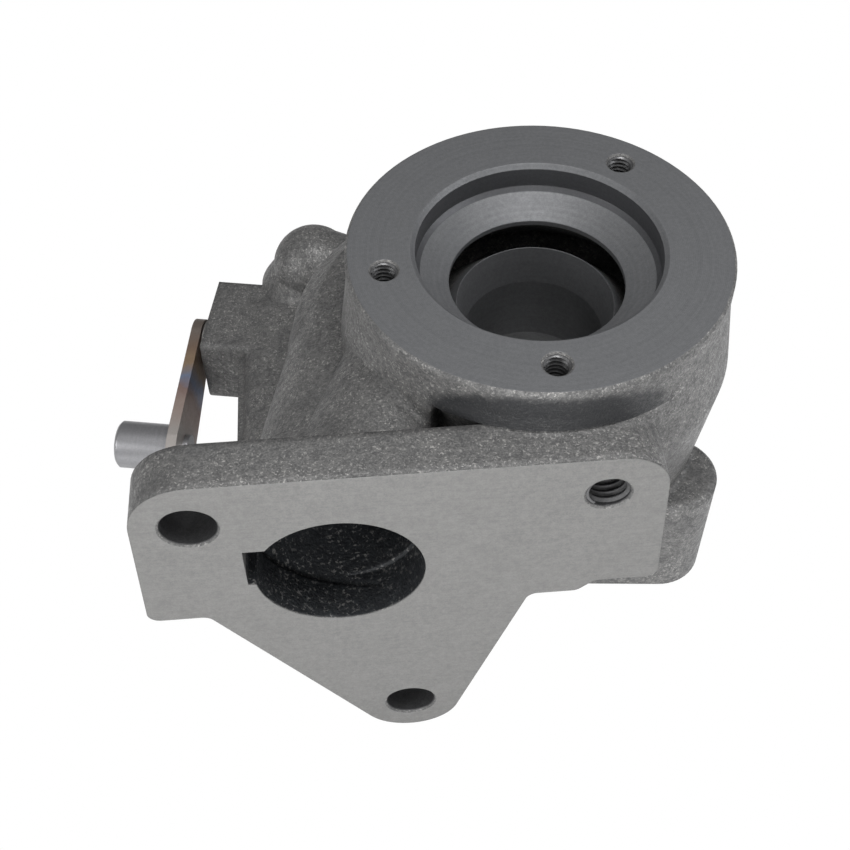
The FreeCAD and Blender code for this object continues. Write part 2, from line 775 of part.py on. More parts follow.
def valve():
    """Flap valve: a domed disc on a stem that hangs in the arm's eye."""
    body = new_body("wastegate_valve")
    low = arm_low() + " - $washer_thick"
    sketch = outline(body, "XZ_Plane", "valve_profile", [
        ("0", disc_top()),
        ("$disc_radius - $disc_bevel", disc_top()),
        ("$disc_radius", disc_top() + " - $disc_bevel"),
        ("$disc_radius", disc_top() + " - $disc_thick + $disc_round"),
        ("$disc_radius - $disc_round", disc_top() + " - $disc_thick"),
        ("$stem_radius", disc_top() + " - $disc_thick"),
        ("$stem_radius", low),
        ("$stem_radius + $stem_head * 0.75", low),
        ("$stem_radius - $stem_head / 3", low + " - $stem_head"),
        ("0", low + " - $stem_head"),
    ])
    revolve(body, sketch)
    return link_place(body, "-$valve_reach", "$shaft_back - $arm_length")


def link_place(item, x="0", y="0"):
    """Moves a piece drawn about its own origin to a point of the linkage frame."""
    turn = linkage_turn()
    item.Placement = FreeCAD.Placement(
        turn.multVec(FreeCAD.Vector(sheet_value(x), sheet_value(y), 0)), turn.Rotation)
    return item


def washer():
    """Retaining washer under the arm."""
    ring = cylinder("washer_ring", "$washer_radius", "$washer_thick - 0.1",
                    z=arm_low() + " - $washer_thick + 0.05")
    hole = cylinder("washer_hole", "$stem_radius + 0.1", "$washer_thick + 2",
                    z=arm_low() + " - $washer_thick - 1")
    doc.recompute()
    holder = doc.addObject("Part::Compound", "valve_washer")
    holder.Links = [cut("washer_drilled", ring, hole)]
    return link_place(holder, "-$valve_reach", "$shaft_back - $arm_length")


def lever_pin_spot():
    """Formulas for the pin's centre in the linkage frame."""
    lift = math.radians(size("lever_lift"))
    return ("$shaft_back - $lever_length * %.6f" % math.cos(lift),
            "-$shaft_depth + $lever_length * %.6f" % math.sin(lift))


def lever():
    """Flat lever welded on the shaft's end, with a round end at each hole."""
    body = new_body("wastegate_lever")
    inner = "-$boss_face - $bush_proud - $lever_gap"
    pin_y, pin_z = lever_pin_spot()
    lift = math.radians(size("lever_lift"))
    sine, cosine = math.sin(lift), math.cos(lift)
    sketch = outline(body, "YZ_Plane", "lever_outline", [
        ("$shaft_back + $lever_eye * %.6f" % sine, "-$shaft_depth + $lever_eye * %.6f" % cosine),
        ("$shaft_back - $lever_eye * %.6f" % sine, "-$shaft_depth - $lever_eye * %.6f" % cosine),
        (pin_y + " - $lever_tip * %.6f" % sine, pin_z + " - $lever_tip * %.6f" % cosine),
        (pin_y + " + $lever_tip * %.6f" % sine, pin_z + " + $lever_tip * %.6f" % cosine),
    ], {0: "$lever_eye + 0.001", 2: "$lever_tip + 0.001"})
    pad(body, sketch, "$lever_thick")
    link_place(body, inner + " - $lever_thick")
    shaft_hole = link_bar("lever_shaft_hole", "$shaft_radius", "-$boss_face - 6", "-$boss_face + 1")
    pin_hole = cylinder("lever_pin_hole", "$pin_rivet", "6", "-$boss_face - 5", pin_y, pin_z,
                        (0, 1, 0), 90)
    return cut("wastegate_lever_drilled", body, turned_link("lever_holes", [shaft_hole, pin_hole]))


def pin():
    """Actuator pin riveted through the lever."""
    outer = "-$boss_face - $bush_proud - $lever_gap - $lever_thick"
    pin_y, pin_z = lever_pin_spot()
    stub = cylinder("pin_stub", "$pin_radius", "$pin_length", outer + " - $pin_length", pin_y,
                    pin_z, (0, 1, 0), 90)
    stub = rounded("pin_soft", stub, size("pin_chamfer"), lambda edge, middle:
                   edge.Closed and middle.x < sheet_value(outer) - 1, "Part::Chamfer")
    tail = cylinder("pin_tail", "$pin_rivet", "$lever_thick + $rivet_proud", outer, pin_y, pin_z,
                    (0, 1, 0), 90)
    return turned_link("lever_pin", [fuse("pin_turned", [stub, tail])])


def write_parts(parts):
    """Checks every feature, then writes one file per piece."""
    doc.recompute()
    failed = [item.Name for item in doc.Objects
              if "Invalid" in item.State or "Error" in item.State]
    if failed:
        raise RuntimeError("features failed: " + ", ".join(failed))
    os.makedirs("parts", exist_ok=True)
    for node, item in parts.items():
        item.Label = node
        shape = item.Shape
        if shape.isNull() or not shape.isValid() or len(shape.Solids) != 1:
            raise RuntimeError(node + " is not one valid solid")
        shape.Solids[0].exportStep("parts/%s.step" % node)


def main():
    """Builds the housing and the wastegate linkage."""
    write_parts({
        "turbine_housing": casting(),
        "shaft_bushing": bushing(),
        "wastegate_shaft": shaft(),
        "wastegate_valve": valve(),
        "valve_washer": washer(),
        "wastegate_lever": lever(),
        "lever_pin": pin(),
    })


main()
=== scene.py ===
import json
import logging
import math
from dataclasses import dataclass, field
from enum import Enum

import bmesh
import bpy
from mathutils import Matrix, Vector


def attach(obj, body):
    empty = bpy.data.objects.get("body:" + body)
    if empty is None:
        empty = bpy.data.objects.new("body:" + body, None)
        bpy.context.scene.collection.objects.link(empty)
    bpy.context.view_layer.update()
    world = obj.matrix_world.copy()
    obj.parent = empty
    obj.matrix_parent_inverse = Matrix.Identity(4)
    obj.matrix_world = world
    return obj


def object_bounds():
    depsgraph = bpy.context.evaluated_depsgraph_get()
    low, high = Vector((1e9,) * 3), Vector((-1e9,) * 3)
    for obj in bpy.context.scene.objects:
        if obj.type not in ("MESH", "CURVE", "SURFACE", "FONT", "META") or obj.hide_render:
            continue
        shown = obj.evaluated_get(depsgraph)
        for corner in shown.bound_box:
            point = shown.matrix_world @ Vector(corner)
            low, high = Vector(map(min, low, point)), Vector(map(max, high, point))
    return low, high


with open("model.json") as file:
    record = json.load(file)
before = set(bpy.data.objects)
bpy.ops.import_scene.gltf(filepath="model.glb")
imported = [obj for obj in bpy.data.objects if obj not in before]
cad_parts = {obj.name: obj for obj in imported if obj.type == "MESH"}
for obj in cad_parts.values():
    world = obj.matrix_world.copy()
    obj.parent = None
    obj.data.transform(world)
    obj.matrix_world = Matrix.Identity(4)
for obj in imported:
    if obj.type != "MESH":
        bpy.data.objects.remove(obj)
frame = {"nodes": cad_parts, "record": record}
CAD_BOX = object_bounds()
LOG = logging.getLogger("turbine_housing")
Socket = bpy.types.NodeSocket

MM = 0.001

# Camera at the photograph's angle, in the part's frame
CAMERA_PLACE_MM = (-36.6, -189.8, 177.7)
CAMERA_RIGHT = (0.9967, -0.0803, -0.0091)
CAMERA_DOWN = (-0.0678, -0.7693, -0.6353)
CAMERA_AHEAD = (0.0440, 0.6338, -0.7722)
SENSOR_MM = 36.0
FOCAL_PX = 1300.0
IMAGE_PX = 850.0

# Faces and bores of the casting, in millimetres of the part's frame
OUTLET_DEPTH = 78.0
BORE_RADIUS = 26.2
BORE_DEPTH = 10.4
SEAT_DEPTH = 5.3
SEAT_CHAMFER = 0.9
CONE_RADIUS = 23.95
SHROUD_RADIUS = 18.3
FACE_SKIN = 0.25
HOLE_SKIN = 0.1
HOLE_END = 1.0

# Gas port and the passage behind it
PORT_ROOM = 18.8
PORT_THROAT = 10.5
SCROLL_START_MM = (-36.0, 0.0, -36.0)
PASSAGE_ROOM = 15.4
PASSAGE_TAPER = 0.13
PASSAGE_MIDDLE = 0.5
PASSAGE_REACH = 0.66

# Painted shade in the recess under the rim, above the inlet plate's top
PAINTED_SHADE_PLACE_MM = (-4.0, -38.0, -10.0)
PAINTED_SHADE_REACH_MM = (31.0, 13.0, 10.0)
PAINTED_SHADE_DARKNESS = 0.86
PLATE_TOP = 10.6

# Pitch of the tool rings on turned faces
RING_PITCH = 0.35


class Cut(Enum):
    """How a surface of the casting was finished."""

    CAST = "cast"
    FACED = "faced"
    TURNED = "turned"
    # Seat wall and ledge: their darker colour is painted shade and painted dark reflections
    BORED_AND_SHADED = "bored_and_shaded"
    DRILLED = "drilled"
    # Passage skin: partly real soot, partly painted shade of the passage's interior
    SOOT_AND_SHADE = "soot_and_shade"


@dataclass(frozen=True)
class Finish:
    """Look of one metal surface.

    Args:
        name: material name.
        light: colour of the bright patches, linear RGB.
        dark: colour of the dark patches, linear RGB.
        metallic: share of metal reflection.
        rough: mean roughness.
        rough_spread: how far the roughness varies either way.
        grain_mm: size of the grain.
        grain_depth_mm: height of the grain in relief.
        edge_mm: radius by which shading softens an edge.
        glint: share of painted glints, bright highlights painted into the skin's colour.
    """

    name: str
    light: tuple[float, float, float]
    dark: tuple[float, float, float]
    metallic: float
    rough: float
    rough_spread: float
    grain_mm: float
    grain_depth_mm: float
    edge_mm: float
    glint: float = 0.0


# The glint shares of the cast and passage skins paint highlights into their colour
CAST_IRON = Finish("sand_cast_iron", (0.140, 0.138, 0.135), (0.052, 0.052, 0.053), 0.35, 0.50, 0.12,
                   0.42, 0.20, 2.4, 0.42)
FACED_IRON = Finish("faced_iron", (0.182, 0.180, 0.175), (0.108, 0.108, 0.106), 0.45, 0.50, 0.07,
                    0.34, 0.014, 0.3)
TURNED_IRON = Finish("turned_iron", (0.134, 0.136, 0.141), (0.078, 0.080, 0.084), 0.45, 0.52, 0.06,
                     0.25, 0.014, 0.3)
# Dark seat wall and ledge: painted shade and painted dark reflections, not a darker metal
SHADED_BORE_IRON = Finish("shaded_bore_iron", (0.072, 0.073, 0.078), (0.046, 0.047, 0.050), 0.55, 0.44, 0.06,
                    0.25, 0.012, 0.3)
DRILLED_IRON = Finish("drilled_iron", (0.070, 0.070, 0.072), (0.040, 0.040, 0.042), 0.50, 0.46, 0.08,
                      0.30, 0.015, 0.2)
# Near-black passage skin: partly real soot and oxide, partly painted shade of the passage's interior
SOOT_AND_SHADE_IRON = Finish("soot_and_shade_iron", (0.030, 0.033, 0.036), (0.008, 0.009, 0.011), 0.30, 0.42, 0.12,
                     0.60, 0.34, 1.0, 0.35)
THREAD_STEEL = Finish("thread_flanks", (0.130, 0.130, 0.132), (0.075, 0.075, 0.077), 0.60, 0.42, 0.08,
                      0.30, 0.010, 0.1)
TURNED_STEEL = Finish("turned_steel", (0.32, 0.32, 0.33), (0.22, 0.22, 0.23), 0.85, 0.36, 0.06,
                      0.25, 0.006, 0.6)
FORGED_STEEL = Finish("forged_steel", (0.22, 0.21, 0.20), (0.13, 0.125, 0.12), 0.7, 0.50, 0.10,
                      0.5, 0.05, 0.6)
VALVE_STEEL = Finish("valve_steel", (0.24, 0.23, 0.22), (0.16, 0.155, 0.15), 0.8, 0.42, 0.10,
                     0.4, 0.015, 0.4)
BUSH_STEEL = Finish("bush_steel", (0.28, 0.28, 0.27), (0.20, 0.195, 0.19), 0.8, 0.40, 0.08,
                    0.3, 0.008, 0.3)
LEVER_STEEL = Finish("heat_tinted_steel", (0.14, 0.13, 0.125), (0.08, 0.076, 0.072), 0.45, 0.48, 0.08,
                     0.30, 0.012, 0.25)


# Colour of the painted glints: highlights painted into the base colour
PAINTED_GLINT = (0.46, 0.45, 0.43)


class Graph:
    """Builds shader nodes in one tree.

    Args:
        tree: the tree that receives the nodes.
    """

    def __init__(self, tree: bpy.types.NodeTree) -> None:
        self.tree = tree

    def node(self, kind: str, inputs: dict | None = None, **values) -> bpy.types.Node:
        """Adds a node.

        Args:
            kind: Blender's node type.
            inputs: socket name or index to a value or to another node's socket.
            values: node properties.

        Returns:
            The new node.
        """
        made = self.tree.nodes.new(kind)
        for name, value in values.items():
            setattr(made, name, value)
        for key, value in (inputs or {}).items():
            self.feed(made.inputs[key], value)
        return made

    def feed(self, socket: Socket, value: "Socket | float | tuple") -> None:
        """Links a socket, or sets its value.

        Args:
            socket: the socket that receives.
            value: another node's socket, or a plain value.
        """
        if isinstance(value, Socket):
            self.tree.links.new(value, socket)
        else:
            socket.default_value = value

    def math(self, operation: str, first: "Socket | float", second: "Socket | float" = 0.0,
             clamp: bool = False) -> Socket:
        """One arithmetic step.

        Args:
            operation: name of the operation.
            first: first operand.
            second: second operand.
            clamp: whether the result stays within 0..1.

        Returns:
            The result's socket.
        """
        return self.node("ShaderNodeMath", {0: first, 1: second}, operation=operation,
                         use_clamp=clamp).outputs[0]

    def ramp(self, value: Socket, low: float, high: float) -> Socket:
        """Smooth step from 0 to 1 while a value goes from low to high.

        Args:
            value: the value's socket.
            low: where the step starts.
            high: where the step ends.

        Returns:
            The step's socket.
        """
        return self.node("ShaderNodeMapRange", {0: value, 1: low, 2: high},
                         interpolation_type="SMOOTHSTEP").outputs[0]

    def blend(self, factor: Socket, first: "Socket | tuple", second: "Socket | tuple") -> Socket:
        """Colour blend.

        Args:
            factor: share of the second colour.
            first: colour at factor 0.
            second: colour at factor 1.

        Returns:
            The blend's socket.
        """
        made = self.node("ShaderNodeMix", data_type="RGBA")
        self.feed(made.inputs[0], factor)
        self.feed(made.inputs[6], first)
        self.feed(made.inputs[7], second)
        return made.outputs[2]

    def noise(self, vector: Socket, size_mm: float) -> Socket:
        """Noise whose features are about size_mm across.

        Args:
            vector: place on the object, in metres.
            size_mm: size of the features.

        Returns:
            The noise's value socket.
        """
        return self.node("ShaderNodeTexNoise", {
            "Vector": vector, "Scale": 1.0 / (size_mm * MM), "Detail": 4.0,
            "Roughness": 0.55}).outputs[0]

    def mix(self, factor: Socket, first: "Socket | float", second: "Socket | float") -> Socket:
        """Blend of two numbers.

        Args:
            factor: share of the second number.
            first: number at factor 0.
            second: number at factor 1.

        Returns:
            The blend's socket.
        """
        made = self.node("ShaderNodeMix", data_type="FLOAT")
        self.feed(made.inputs[0], factor)
        self.feed(made.inputs[2], first)
        self.feed(made.inputs[3], second)
        return made.outputs[0]


def rgba(colour: tuple[float, float, float]) -> tuple[float, float, float, float]:
    """Colour with full alpha."""
    return (*colour, 1.0)


def new_group(name: str, inputs: dict[str, str], outputs: dict[str, str]) -> tuple:
    """Starts a shader node group.

    Args:
        name: group name.
        inputs: socket name to socket type.
        outputs: socket name to socket type.

    Returns:
        The group, its graph, its input node and its output node.
    """
    group = bpy.data.node_groups.new(name, "ShaderNodeTree")
    for label, kind in inputs.items():
        group.interface.new_socket(label, in_out="INPUT", socket_type=kind)
    for label, kind in outputs.items():
        group.interface.new_socket(label, in_out="OUTPUT", socket_type=kind)
    graph = Graph(group)
    return group, graph, graph.node("NodeGroupInput"), graph.node("NodeGroupOutput")


class Effects:
    """Node groups that the materials share."""

    BROAD_SCALE = 0.06
    COARSE_SCALE = 0.31
    FINE_SHARE = 0.6
    SPARK_SCALE = 0.75
    RISE_SHARE = 0.83
    WAVE_SHARE = 0.15

    def __init__(self) -> None:
        self.grain = self._grain()
        self.rings = self._rings()
        self.zone = self._zone()

    def _grain(self) -> bpy.types.NodeTree:
        """Metal grain: masks of patches, speckle and painted glints, and a relief height."""
        group, graph, given, made = new_group(
            "metal_grain", {"Vector": "NodeSocketVector", "Size": "NodeSocketFloat"},
            {"Patches": "NodeSocketFloat", "Speckle": "NodeSocketFloat",
             "Glint": "NodeSocketFloat", "Height": "NodeSocketFloat"})
        scale = graph.math("DIVIDE", 1.0, given.outputs["Size"])
        where = graph.node("ShaderNodeVectorMath", {0: given.outputs["Vector"], "Scale": scale},
                           operation="SCALE").outputs[0]
        fine = graph.node("ShaderNodeTexNoise", {"Vector": where, "Scale": 1.0, "Detail": 3.0,
                                                 "Roughness": 0.6}).outputs[0]
        broad = graph.node("ShaderNodeTexNoise", {"Vector": where, "Scale": self.BROAD_SCALE,
                                                  "Detail": 4.0, "Roughness": 0.6}).outputs[0]
        coarse = graph.node("ShaderNodeTexNoise", {"Vector": where, "Scale": self.COARSE_SCALE,
                                                   "Detail": 2.0, "Roughness": 0.5}).outputs[0]
        height = graph.math("ADD", graph.math("MULTIPLY", fine, self.FINE_SHARE),
                            graph.math("MULTIPLY", coarse, 1.0 - self.FINE_SHARE))
        graph.feed(made.inputs["Patches"], graph.ramp(broad, 0.32, 0.68))
        graph.feed(made.inputs["Speckle"], graph.ramp(height, 0.34, 0.68))
        spark = graph.node("ShaderNodeTexNoise", {
            "Vector": where, "Scale": self.SPARK_SCALE, "Detail": 1.0, "Roughness": 0.7,
            "Distortion": 0.6}).outputs[0]
        graph.feed(made.inputs["Glint"], graph.math(
            "MULTIPLY", graph.ramp(spark, 0.55, 0.72), graph.ramp(broad, 0.30, 0.60)))
        graph.feed(made.inputs["Height"], height)
        return group

    def _rings(self) -> bpy.types.NodeTree:
        """Fine tool rings round the Z axis of a vector."""
        group, graph, given, made = new_group(
            "tool_rings", {"Vector": "NodeSocketVector", "Pitch": "NodeSocketFloat"},
            {"Height": "NodeSocketFloat"})
        parts = graph.node("ShaderNodeSeparateXYZ", {0: given.outputs["Vector"]}).outputs
        flat = graph.node("ShaderNodeCombineXYZ", {0: parts[0], 1: parts[1]}).outputs[0]
        radius = graph.node("ShaderNodeVectorMath", {0: flat}, operation="LENGTH").outputs["Value"]
        run = graph.math("ADD", radius, graph.math("MULTIPLY", parts[2], self.RISE_SHARE))
        turn = graph.math("DIVIDE", run, given.outputs["Pitch"])
        wobble = graph.node("ShaderNodeTexNoise", {"W": graph.math("MULTIPLY", turn, 0.37),
                                                   "Scale": 1.0, "Detail": 3.0},
                            noise_dimensions="1D").outputs[0]
        wave = graph.math("SINE", graph.math("MULTIPLY", turn, math.tau))
        graph.feed(made.inputs["Height"],
                   graph.math("ADD", graph.math("MULTIPLY", wave, self.WAVE_SHARE),
                              graph.math("MULTIPLY", wobble, 1.0 - self.WAVE_SHARE)))
        return group

    @staticmethod
    def _zone() -> bpy.types.NodeTree:
        """Mask of a round or tapered zone about a line, within a reach along it."""
        group, graph, given, made = new_group(
            "round_zone",
            {"Vector": "NodeSocketVector", "Centre": "NodeSocketVector",
             "Axis": "NodeSocketVector", "Radius": "NodeSocketFloat", "Taper": "NodeSocketFloat",
             "Reach": "NodeSocketFloat"},
            {"Mask": "NodeSocketFloat"})
        away = graph.node("ShaderNodeVectorMath", {0: given.outputs["Vector"],
                                                   1: given.outputs["Centre"]},
                          operation="SUBTRACT").outputs[0]
        along = graph.node("ShaderNodeVectorMath", {0: away, 1: given.outputs["Axis"]},
                           operation="DOT_PRODUCT").outputs["Value"]
        across = graph.node("ShaderNodeVectorMath", {0: away, 1: given.outputs["Axis"]},
                            operation="CROSS_PRODUCT").outputs[0]
        radius = graph.node("ShaderNodeVectorMath", {0: across},
                            operation="LENGTH").outputs["Value"]
        limit = graph.math("SUBTRACT", given.outputs["Radius"],
                           graph.math("MULTIPLY", along, given.outputs["Taper"]))
        near = graph.math("LESS_THAN", radius, limit)
        within = graph.math("LESS_THAN", graph.math("ABSOLUTE", along), given.outputs["Reach"])
        graph.feed(made.inputs["Mask"], graph.math("MULTIPLY", near, within))
        return group


@dataclass
class Look:
    """Sockets that one surface finish offers to a shader."""

    colour: Socket
    rough: Socket
    height: Socket


class MetalMaker:
    """Builds metal materials out of the shared effects.

    Args:
        effects: the shared node groups.
    """

    PATCH_SHARE = 0.18
    RELIEF_SHARE = 0.3
    MARK_SHARE = 0.45

    def __init__(self, effects: Effects) -> None:
        self.effects = effects

    def look(self, graph: Graph, finish: Finish, vector: Socket,
             height: "Socket | None" = None) -> Look:
        """Colour, roughness and relief of one finish.

        Args:
            graph: graph of the material.
            finish: the finish.
            vector: place on the object.
            height: socket of tool marks to mix into the relief.

        Returns:
            The finish's sockets; the height is in metres.
        """
        grain = graph.node("ShaderNodeGroup", node_tree=self.effects.grain)
        graph.feed(grain.inputs["Vector"], vector)
        graph.feed(grain.inputs["Size"], finish.grain_mm * MM)
        mask = graph.math("ADD", graph.math("MULTIPLY", grain.outputs["Patches"], self.PATCH_SHARE),
                          graph.math("MULTIPLY", grain.outputs["Speckle"],
                                     1.0 - self.PATCH_SHARE))
        relief = grain.outputs["Height"]
        if height is not None:
            relief = graph.math("ADD", graph.math("MULTIPLY", relief, self.RELIEF_SHARE),
                                graph.math("MULTIPLY", height, 1.0 - self.RELIEF_SHARE))
            mask = graph.math("ADD", graph.math("MULTIPLY", mask, 1.0 - self.MARK_SHARE),
                              graph.math("MULTIPLY", height, self.MARK_SHARE))
        colour = graph.blend(mask, rgba(finish.dark), rgba(finish.light))
        # Painted highlights: glints blended into the colour as a bright tone
        if finish.glint:
            bright = graph.math("MULTIPLY", grain.outputs["Glint"], finish.glint)
            colour = graph.blend(bright, colour, rgba(PAINTED_GLINT))
            mask = graph.math("ADD", mask, bright, clamp=True)
        rough = graph.node("ShaderNodeMapRange", {
            0: mask, 1: 0.0, 2: 1.0, 3: finish.rough + finish.rough_spread,
            4: finish.rough - finish.rough_spread}).outputs[0]
        return Look(colour, rough, graph.math("MULTIPLY", relief, finish.grain_depth_mm * MM))

    def rings(self, graph: Graph, vector: Socket, pitch_mm: float) -> Socket:
        """Tool rings round the Z axis of a vector.

        Args:
            graph: graph of the material.
            vector: place on the object, with the axis along its Z.
            pitch_mm: distance between rings.

        Returns:
            The rings' height socket.
        """
        rings = graph.node("ShaderNodeGroup", node_tree=self.effects.rings)
        graph.feed(rings.inputs["Vector"], vector)
        graph.feed(rings.inputs["Pitch"], pitch_mm * MM)
        return rings.outputs["Height"]

    def start(self, name: str) -> tuple[bpy.types.Material, Graph, bpy.types.Node]:
        """Starts a material.

        Args:
            name: material name.

        Returns:
            The material, its graph and its Principled shader.
        """
        material = bpy.data.materials.new(name)
        material.use_nodes = True
        graph = Graph(material.node_tree)
        shader = next(n for n in material.node_tree.nodes if n.type == "BSDF_PRINCIPLED")
        return material, graph, shader

    @staticmethod
    def finish_shader(graph: Graph, shader: bpy.types.Node, look: Look,
                      metallic: "Socket | float", edge: "Socket | float") -> None:
        """Feeds a look to the shader.

        Args:
            graph: graph of the material.
            shader: the Principled shader.
            look: colour, roughness and relief.
            metallic: share of metal reflection.
            edge: radius by which shading softens an edge, in metres.
        """
        graph.feed(shader.inputs["Base Color"], look.colour)
        graph.feed(shader.inputs["Roughness"], look.rough)
        graph.feed(shader.inputs["Metallic"], metallic)
        soft = graph.node("ShaderNodeBevel", samples=6)
        graph.feed(soft.inputs["Radius"], edge)
        bump = graph.node("ShaderNodeBump", {"Height": look.height, "Distance": 1.0,
                                             "Strength": 1.0, "Normal": soft.outputs[0]})
        graph.feed(shader.inputs["Normal"], bump.outputs[0])

    def metal(self, finish: Finish, axis: Vector | None = None, centre: Vector | None = None,
              pitch_mm: float = 0.3) -> bpy.types.Material:
        """Plain metal, with turned rings where an axis is given.

        Args:
            finish: the finish.
            axis: direction of the turning axis.
            centre: a point on that axis, in metres.
            pitch_mm: distance between the rings.

        Returns:
            The material.
        """
        material, graph, shader = self.start(finish.name)
        vector = graph.node("ShaderNodeTexCoord").outputs["Object"]
        height = None
        if axis is not None:
            turn = Vector((0, 0, 1)).rotation_difference(axis).inverted().to_euler()
            shift = graph.node("ShaderNodeVectorMath", {0: vector, 1: tuple(centre)},
                               operation="SUBTRACT").outputs[0]
            turned = graph.node("ShaderNodeVectorRotate", {"Vector": shift, "Rotation": turn},
                                rotation_type="EULER_XYZ").outputs[0]
            height = self.rings(graph, turned, pitch_mm)
        self.finish_shader(graph, shader, self.look(graph, finish, vector, height),
                           finish.metallic, finish.edge_mm * MM)
        return material


CUT_FINISH = {Cut.CAST: CAST_IRON, Cut.FACED: FACED_IRON, Cut.TURNED: TURNED_IRON,
              Cut.BORED_AND_SHADED: SHADED_BORE_IRON, Cut.DRILLED: DRILLED_IRON, Cut.SOOT_AND_SHADE: SOOT_AND_SHADE_IRON}


def hole_mounts(record: dict) -> list[dict]:
    """Stated bores and tapped holes, apart from the seat on the turbine axis."""
    return [m for m in record["mounts"] if m["kind"] in ("bore", "threaded_hole")
            and m["name"] != "bearing_seat"]


class CastingSurface:
    """Material of the casting: sand cast skin with machined faces and bores.

    Args:
        maker: builder of the metal looks.
        record: the part's record, whose mounts place the machined faces.
    """

    MILL_SCALE = (160.0, 1500.0, 2600.0)
    FLAT = 0.9
    STRAIGHT = (0.0, 0.0, 1.0)
    STRAY_MM = 3.0
    STRAY_SHARE = 0.3
    PAINTED_SHADE_FADE = (0.85, 1.2)

    def __init__(self, maker: MetalMaker, record: dict) -> None:
        self.maker = maker
        self.record = record
        self.inlet_face = next(m for m in record["mounts"] if m["name"] == "inlet_face")

    def build(self) -> bpy.types.Material:
        """Returns the material."""
        material, graph, shader = self.maker.start("casting")
        coordinates = graph.node("ShaderNodeTexCoord")
        vector = coordinates.outputs["Object"]
        facing = graph.node("ShaderNodeSeparateXYZ", {0: coordinates.outputs["Normal"]}).outputs
        place = graph.node("ShaderNodeSeparateXYZ", {0: vector}).outputs
        looks = {
            Cut.CAST: self.maker.look(graph, CAST_IRON, vector),
            Cut.FACED: self.maker.look(graph, FACED_IRON, vector, self._milled(graph, vector)),
            Cut.TURNED: self.maker.look(graph, TURNED_IRON, vector,
                                        self.maker.rings(graph, vector, RING_PITCH)),
            Cut.BORED_AND_SHADED: self.maker.look(graph, SHADED_BORE_IRON, vector,
                                       self.maker.rings(graph, vector, RING_PITCH)),
            Cut.DRILLED: self.maker.look(graph, DRILLED_IRON, vector),
            Cut.SOOT_AND_SHADE: self.maker.look(graph, SOOT_AND_SHADE_IRON, vector),
        }
        masks = {
            # Passage mask: partly real soot, partly painted shade
            Cut.SOOT_AND_SHADE: self._port(graph, vector),
            Cut.DRILLED: self._drilled(graph, vector),
            Cut.TURNED: self._turned(graph, vector, place, facing),
            # Seat wall and ledge mask: painted shade and painted dark reflections
            Cut.BORED_AND_SHADED: self._shaded_bore(graph, vector),
            Cut.FACED: self._faced(graph, place, facing),
        }
        total = looks[Cut.CAST]
        # Painted shade: the skin in the recess under the rim is darkened towards the passage's
        # near-black colour
        total.colour = graph.blend(self._painted_recess_shade(graph, vector, place), total.colour,
                                   rgba(SOOT_AND_SHADE_IRON.dark))
        metallic, edge = CAST_IRON.metallic, CAST_IRON.edge_mm * MM
        for cut, mask in masks.items():
            over = looks[cut]
            total = Look(graph.blend(mask, total.colour, over.colour),
                         graph.mix(mask, total.rough, over.rough),
                         graph.mix(mask, total.height, over.height))
            metallic = graph.mix(mask, metallic, CUT_FINISH[cut].metallic)
            edge = graph.mix(mask, edge, CUT_FINISH[cut].edge_mm * MM)
        self.maker.finish_shader(graph, shader, total, metallic, edge)
        return material

    def _milled(self, graph: Graph, vector: Socket) -> Socket:
        """Long fine strokes of a face mill, as a height."""
        stretched = graph.node("ShaderNodeVectorMath", {0: vector, 1: self.MILL_SCALE},
                               operation="MULTIPLY").outputs[0]
        return graph.node("ShaderNodeTexNoise", {"Vector": stretched, "Scale": 1.0,
                                                 "Detail": 4.0}).outputs[0]

    def _faced(self, graph: Graph, place, facing) -> Socket:
        """Mask of the inlet face and the outlet face."""
        inlet = graph.math("LESS_THAN", place[1],
                           self.inlet_face["pos_m"][1] + FACE_SKIN * MM)
        outlet = graph.math("LESS_THAN", place[2], -(OUTLET_DEPTH - FACE_SKIN) * MM)
        inlet_flat = graph.math("LESS_THAN", facing[1], -self.FLAT)
        outlet_flat = graph.math("LESS_THAN", facing[2], -self.FLAT)
        return graph.math("MAXIMUM", graph.math("MULTIPLY", inlet, inlet_flat),
                          graph.math("MULTIPLY", outlet, outlet_flat))

    def _zone(self, graph: Graph, vector: Socket, centre, axis, radius: float, reach: float,
              taper: float = 0.0) -> Socket:
        """Mask of a round or tapered zone.

        Args:
            graph: graph of the material.
            vector: place on the object.
            centre: middle of the zone, in metres.
            axis: direction of its line.
            radius: its radius at the middle, in metres.
            reach: half its length, in metres.
            taper: how much the radius shrinks per unit along the axis.

        Returns:
            The mask's socket.
        """
        zone = graph.node("ShaderNodeGroup", node_tree=self.maker.effects.zone)
        for name, value in (("Vector", vector), ("Centre", tuple(centre)), ("Axis", tuple(axis)),
                            ("Radius", radius), ("Taper", taper), ("Reach", reach)):
            graph.feed(zone.inputs[name], value)
        return zone.outputs["Mask"]

    def _port(self, graph: Graph, vector: Socket) -> Socket:
        """Mask of the gas passage behind the inlet port, whose skin is darkened partly by real soot
        and partly by painted shade.
        """
        face = Vector(self.inlet_face["pos_m"])
        inward = -Vector(self.inlet_face["axis"])
        throat = face + inward * (PORT_THROAT + FACE_SKIN) * MM
        half = PORT_THROAT / 2 * MM
        mouth = self._zone(graph, vector, throat - inward * half, inward, PORT_ROOM * MM, half)
        run = Vector(SCROLL_START_MM) * MM - throat
        ahead = run.normalized()
        tube = self._zone(graph, vector, throat + run * PASSAGE_MIDDLE, ahead,
                          PASSAGE_ROOM * MM, run.length * PASSAGE_REACH, PASSAGE_TAPER)
        return graph.math("MAXIMUM", mouth, tube)

